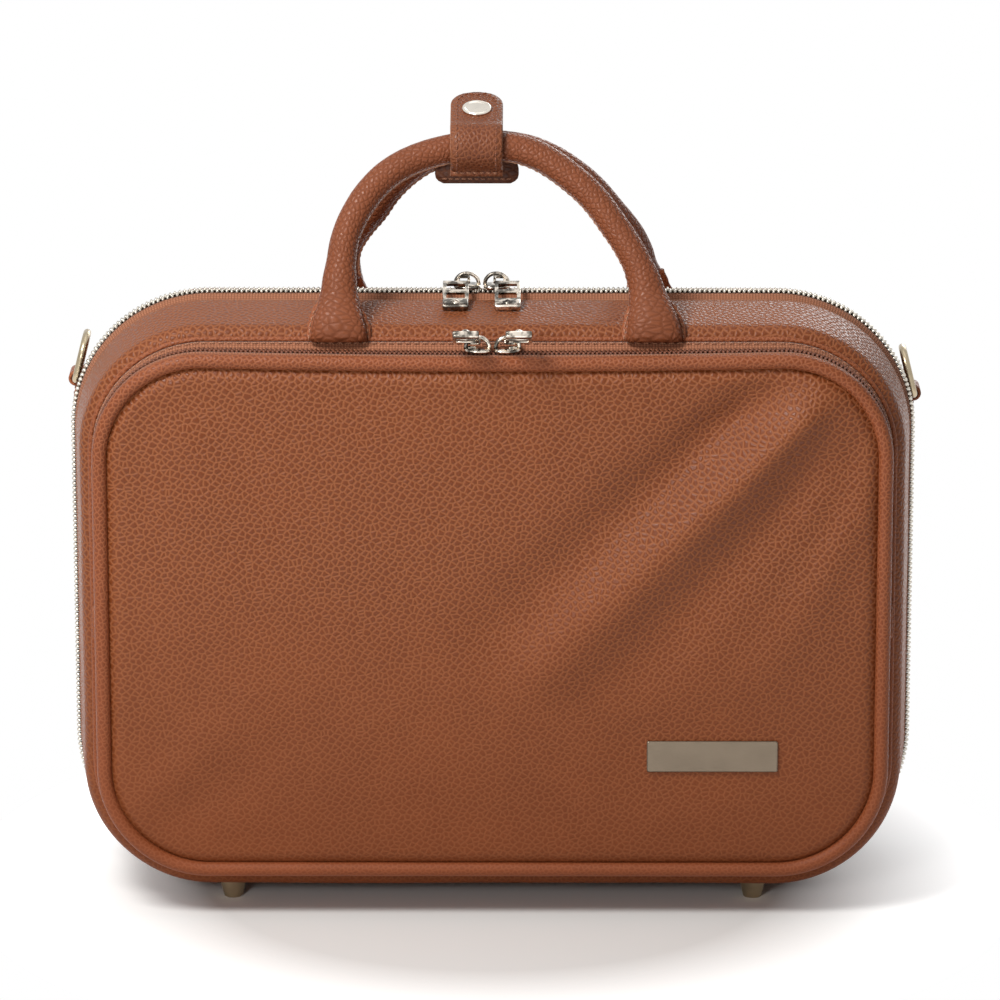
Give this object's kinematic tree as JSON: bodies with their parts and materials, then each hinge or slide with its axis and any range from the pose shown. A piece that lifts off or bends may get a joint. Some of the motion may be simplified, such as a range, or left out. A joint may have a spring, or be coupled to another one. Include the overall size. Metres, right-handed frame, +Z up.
{
  "type": "oboe case",
  "caption": "Soft-sided oboe case with a zipped lid, a zipped front pocket, two rolled handles held by a snap wrap, D-rings and metal feet.",
  "frame": {"origin": "on the floor, midway between the four feet and under the plane of the main zip", "axes": "+Z up, the pocket faces -Y, +X to the right as seen from the pocket's side"},
  "size_m": [0.3492, 0.1158, 0.3279],
  "materials": {
    "tan_leather": "pebble-grained, soft sheen",
    "dark_leather": "pebble-grained, darker in the folds",
    "board": "bare board, covered on both sides",
    "lining": "short dark pile",
    "padding": "dark plush over foam",
    "zip_tape": "woven tape",
    "coil": "nylon coil, dyed",
    "zip_metal": "bright nickel",
    "pewter": "brushed, pale champagne",
    "foot_metal": "satin, aged",
    "core": "foam cord",
    "screw_steel": "plain"
  },
  "bodies": {
    "case_back": {"back_cover": "tan_leather", "back_frame": "board", "back_lining": "lining", "instrument_block": "padding", "back_zip_tape": "zip_tape", "back_zip_chain": "zip_metal", "back_zip_stops": "zip_metal", "back_hinge_strip": "dark_leather", "back_feet": "foot_metal", "back_foot_screws": "screw_steel", "back_handle_tabs": "tan_leather", "dring_tab_left": "tan_leather", "dring_tab_right": "tan_leather"},
    "lid": {"lid_cover": "tan_leather", "lid_frame": "board", "lid_lining": "lining", "lid_pad": "padding", "lid_zip_tape": "zip_tape", "lid_zip_chain": "zip_metal", "lid_hinge_strip": "dark_leather", "lid_feet": "foot_metal", "lid_foot_screws": "screw_steel", "front_handle_tabs": "tan_leather", "pocket_back_welt": "tan_leather", "pocket_back_tape": "zip_tape", "pocket_back_coil": "coil", "pocket_lower_gusset": "tan_leather", "pocket_lower_panel": "tan_leather", "pocket_lower_piping": "tan_leather", "pocket_zip_ends": "tan_leather", "nameplate": "pewter", "nameplate_pins": "pewter"},
    "pocket_flap": {"pocket_panel": "tan_leather", "pocket_piping": "tan_leather", "pocket_front_tape": "zip_tape", "pocket_front_coil": "coil"},
    "front_handle": {"front_grip": "tan_leather", "front_grip_core": "core", "wrap_loop": "tan_leather"},
    "back_handle": {"back_grip": "tan_leather", "back_grip_core": "core", "wrap_pad": "tan_leather", "snap_disc_lower": "zip_metal"},
    "tail": {"wrap_tail": "tan_leather", "snap_disc_upper": "zip_metal", "snap_cap": "zip_metal"},
    "main_slider_left": {"main_slider_left": "zip_metal"},
    "main_pull_left": {"main_pull_left": "zip_metal"},
    "pocket_slider_left": {"pocket_slider_left": "zip_metal"},
    "pocket_pull_left": {"pocket_pull_left": "zip_metal"},
    "d_ring_left": {"d_ring_left": "zip_metal"},
    "main_slider_right": {"main_slider_right": "zip_metal"},
    "main_pull_right": {"main_pull_right": "zip_metal"},
    "pocket_slider_right": {"pocket_slider_right": "zip_metal"},
    "pocket_pull_right": {"pocket_pull_right": "zip_metal"},
    "d_ring_right": {"d_ring_right": "zip_metal"}
  },
  "joints": [
    {"name": "lid_open", "type": "hinge", "parent": "case_back", "child": "lid", "pos_m": [0, 0, 0.0054], "axis": [1, 0, 0], "range_deg": [0, 135]},
    {"name": "pocket_open", "type": "hinge", "parent": "lid", "child": "pocket_flap", "pos_m": [0, -0.0592, 0.13], "axis": [1, 0, 0], "range_deg": [0, 60]},
    {"name": "front_handle_fold", "type": "hinge", "parent": "lid", "child": "front_handle", "pos_m": [0.0015, -0.04194, 0.24466], "axis": [1, 0, 0], "range_deg": [0, 115]},
    {"name": "back_handle_fold", "type": "hinge", "parent": "case_back", "child": "back_handle", "pos_m": [0.0015, 0.04106, 0.23991], "axis": [-1, 0, 0], "range_deg": [0, 115]},
    {"name": "wrap_tail_lift", "type": "hinge", "parent": "front_handle", "child": "tail", "pos_m": [-0.0065, -0.00644, 0.32098], "axis": [1, 0, 0], "range_deg": [0, 100]},
    {"name": "main_slider_left_slide", "type": "slide", "parent": "lid", "child": "main_slider_left", "axis": [-1, 0, 0], "range_m": [0, 0.09]},
    {"name": "main_pull_left_swing", "type": "hinge", "parent": "main_slider_left", "child": "main_pull_left", "pos_m": [-0.0105, 0, 0.2545], "axis": [-1, 0, 0], "range_deg": [0, 150]},
    {"name": "pocket_slider_left_slide", "type": "slide", "parent": "lid", "child": "pocket_slider_left", "axis": [-1, 0, 0], "range_m": [0, 0.09]},
    {"name": "pocket_pull_left_swing", "type": "hinge", "parent": "pocket_slider_left", "child": "pocket_pull_left", "pos_m": [-0.006, -0.049, 0.2425], "axis": [-1, 0, 0], "range_deg": [0, 90]},
    {"name": "d_ring_left_swing", "type": "hinge", "parent": "case_back", "child": "d_ring_left", "pos_m": [-0.17066, 0.015, 0.21], "axis": [0, -1, 0], "range_deg": [0, 165]},
    {"name": "main_slider_right_slide", "type": "slide", "parent": "lid", "child": "main_slider_right", "axis": [1, 0, 0], "range_m": [0, 0.09]},
    {"name": "main_pull_right_swing", "type": "hinge", "parent": "main_slider_right", "child": "main_pull_right", "pos_m": [0.0015, 0, 0.2545], "axis": [-1, 0, 0], "range_deg": [0, 150]},
    {"name": "pocket_slider_right_slide", "type": "slide", "parent": "lid", "child": "pocket_slider_right", "axis": [1, 0, 0], "range_m": [0, 0.09]},
    {"name": "pocket_pull_right_swing", "type": "hinge", "parent": "pocket_slider_right", "child": "pocket_pull_right", "pos_m": [0.006, -0.049, 0.2425], "axis": [-1, 0, 0], "range_deg": [0, 90]},
    {"name": "d_ring_right_swing", "type": "hinge", "parent": "case_back", "child": "d_ring_right", "pos_m": [0.17215, 0.015, 0.204], "axis": [0, 1, 0], "range_deg": [0, 165]}
  ]
}
